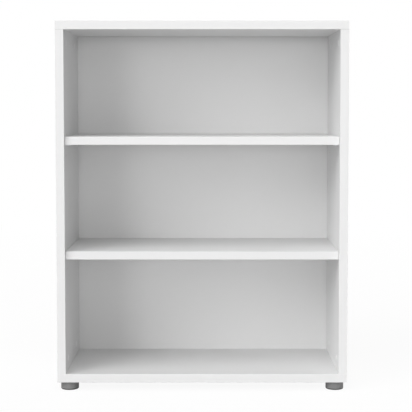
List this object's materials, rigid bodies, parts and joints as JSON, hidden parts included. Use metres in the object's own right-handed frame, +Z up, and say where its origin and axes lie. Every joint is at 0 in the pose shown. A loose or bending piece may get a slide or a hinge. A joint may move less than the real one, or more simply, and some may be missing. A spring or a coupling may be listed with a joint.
{
  "type": "open bookcase",
  "caption": "White open bookcase with loose shelves between flat sides, a thin back sheet in grooves and round grey levelling feet.",
  "frame": {"origin": "on the floor under the middle of the bookcase", "axes": "+Z up, +X to the right seen from the front, the open front looks towards -Y"},
  "size_m": [0.891, 0.4, 1.133],
  "materials": {
    "white_melamine_board": "chipboard faced with white melamine, fine satin grain",
    "white_back_sheet": "thin fibreboard with a white satin face",
    "white_edge_band": "white edge band, satin",
    "white_cap_plastic": "white moulded caps, smooth",
    "grey_foot_plastic": "grey moulded plastic, fine texture",
    "plated_steel": "zinc plated steel",
    "zinc_casting": "zinc die casting, as cast",
    "beech_dowel": "plain beech"
  },
  "bodies": {
    "carcass": {"top_panel": "white_melamine_board", "bottom_panel": "white_melamine_board", "left_side_panel": "white_melamine_board", "right_side_panel": "white_melamine_board", "back_panel": "white_back_sheet", "top_front_edge_band": "white_edge_band", "top_left_edge_band": "white_edge_band", "top_right_edge_band": "white_edge_band", "bottom_front_edge_band": "white_edge_band", "bottom_left_edge_band": "white_edge_band", "bottom_right_edge_band": "white_edge_band", "left_side_edge_band": "white_edge_band", "right_side_edge_band": "white_edge_band", "upper_shelf_pins": "plated_steel", "lower_shelf_pins": "plated_steel", "cam_discs": "zinc_casting", "cam_bolts": "plated_steel", "cam_cover_caps": "white_cap_plastic", "wood_dowels": "beech_dowel", "foot_insert_nuts": "plated_steel"},
    "upper_shelf_board": {"upper_shelf": "white_melamine_board", "upper_shelf_edge_band": "white_edge_band"},
    "lower_shelf_board": {"lower_shelf": "white_melamine_board", "lower_shelf_edge_band": "white_edge_band"},
    "front_left_screw": {"front_left_foot_stud": "plated_steel"},
    "front_left_cup": {"front_left_foot": "grey_foot_plastic"},
    "front_right_screw": {"front_right_foot_stud": "plated_steel"},
    "front_right_cup": {"front_right_foot": "grey_foot_plastic"},
    "rear_left_screw": {"rear_left_foot_stud": "plated_steel"},
    "rear_left_cup": {"rear_left_foot": "grey_foot_plastic"},
    "rear_right_screw": {"rear_right_foot_stud": "plated_steel"},
    "rear_right_cup": {"rear_right_foot": "grey_foot_plastic"}
  },
  "joints": [
    {"name": "upper_shelf_slide", "type": "slide", "parent": "carcass", "child": "upper_shelf_board", "axis": [0, -1, 0], "range_m": [0, 0.06]},
    {"name": "lower_shelf_slide", "type": "slide", "parent": "carcass", "child": "lower_shelf_board", "axis": [0, -1, 0], "range_m": [0, 0.06]},
    {"name": "front_left_foot_travel", "type": "slide", "parent": "carcass", "child": "front_left_screw", "axis": [0, 0, -1], "range_m": [0, 0.01]},
    {"name": "front_left_foot_turn", "type": "hinge", "parent": "front_left_screw", "child": "front_left_cup", "pos_m": [-0.4105, -0.165, 0.013], "axis": [0, 0, -1], "range_deg": [0, 2880]},
    {"name": "front_right_foot_travel", "type": "slide", "parent": "carcass", "child": "front_right_screw", "axis": [0, 0, -1], "range_m": [0, 0.01]},
    {"name": "front_right_foot_turn", "type": "hinge", "parent": "front_right_screw", "child": "front_right_cup", "pos_m": [0.4105, -0.165, 0.013], "axis": [0, 0, -1], "range_deg": [0, 2880]},
    {"name": "rear_left_foot_travel", "type": "slide", "parent": "carcass", "child": "rear_left_screw", "axis": [0, 0, -1], "range_m": [0, 0.01]},
    {"name": "rear_left_foot_turn", "type": "hinge", "parent": "rear_left_screw", "child": "rear_left_cup", "pos_m": [-0.4105, 0.165, 0.013], "axis": [0, 0, -1], "range_deg": [0, 2880]},
    {"name": "rear_right_foot_travel", "type": "slide", "parent": "carcass", "child": "rear_right_screw", "axis": [0, 0, -1], "range_m": [0, 0.01]},
    {"name": "rear_right_foot_turn", "type": "hinge", "parent": "rear_right_screw", "child": "rear_right_cup", "pos_m": [0.4105, 0.165, 0.013], "axis": [0, 0, -1], "range_deg": [0, 2880]}
  ],
  "couplings": [
    {"joint": "front_left_foot_travel", "follows": "front_left_foot_turn", "m_per_rad": 0.00019894},
    {"joint": "front_right_foot_travel", "follows": "front_right_foot_turn", "m_per_rad": 0.00019894},
    {"joint": "rear_left_foot_travel", "follows": "rear_left_foot_turn", "m_per_rad": 0.00019894},
    {"joint": "rear_right_foot_travel", "follows": "rear_right_foot_turn", "m_per_rad": 0.00019894}
  ]
}
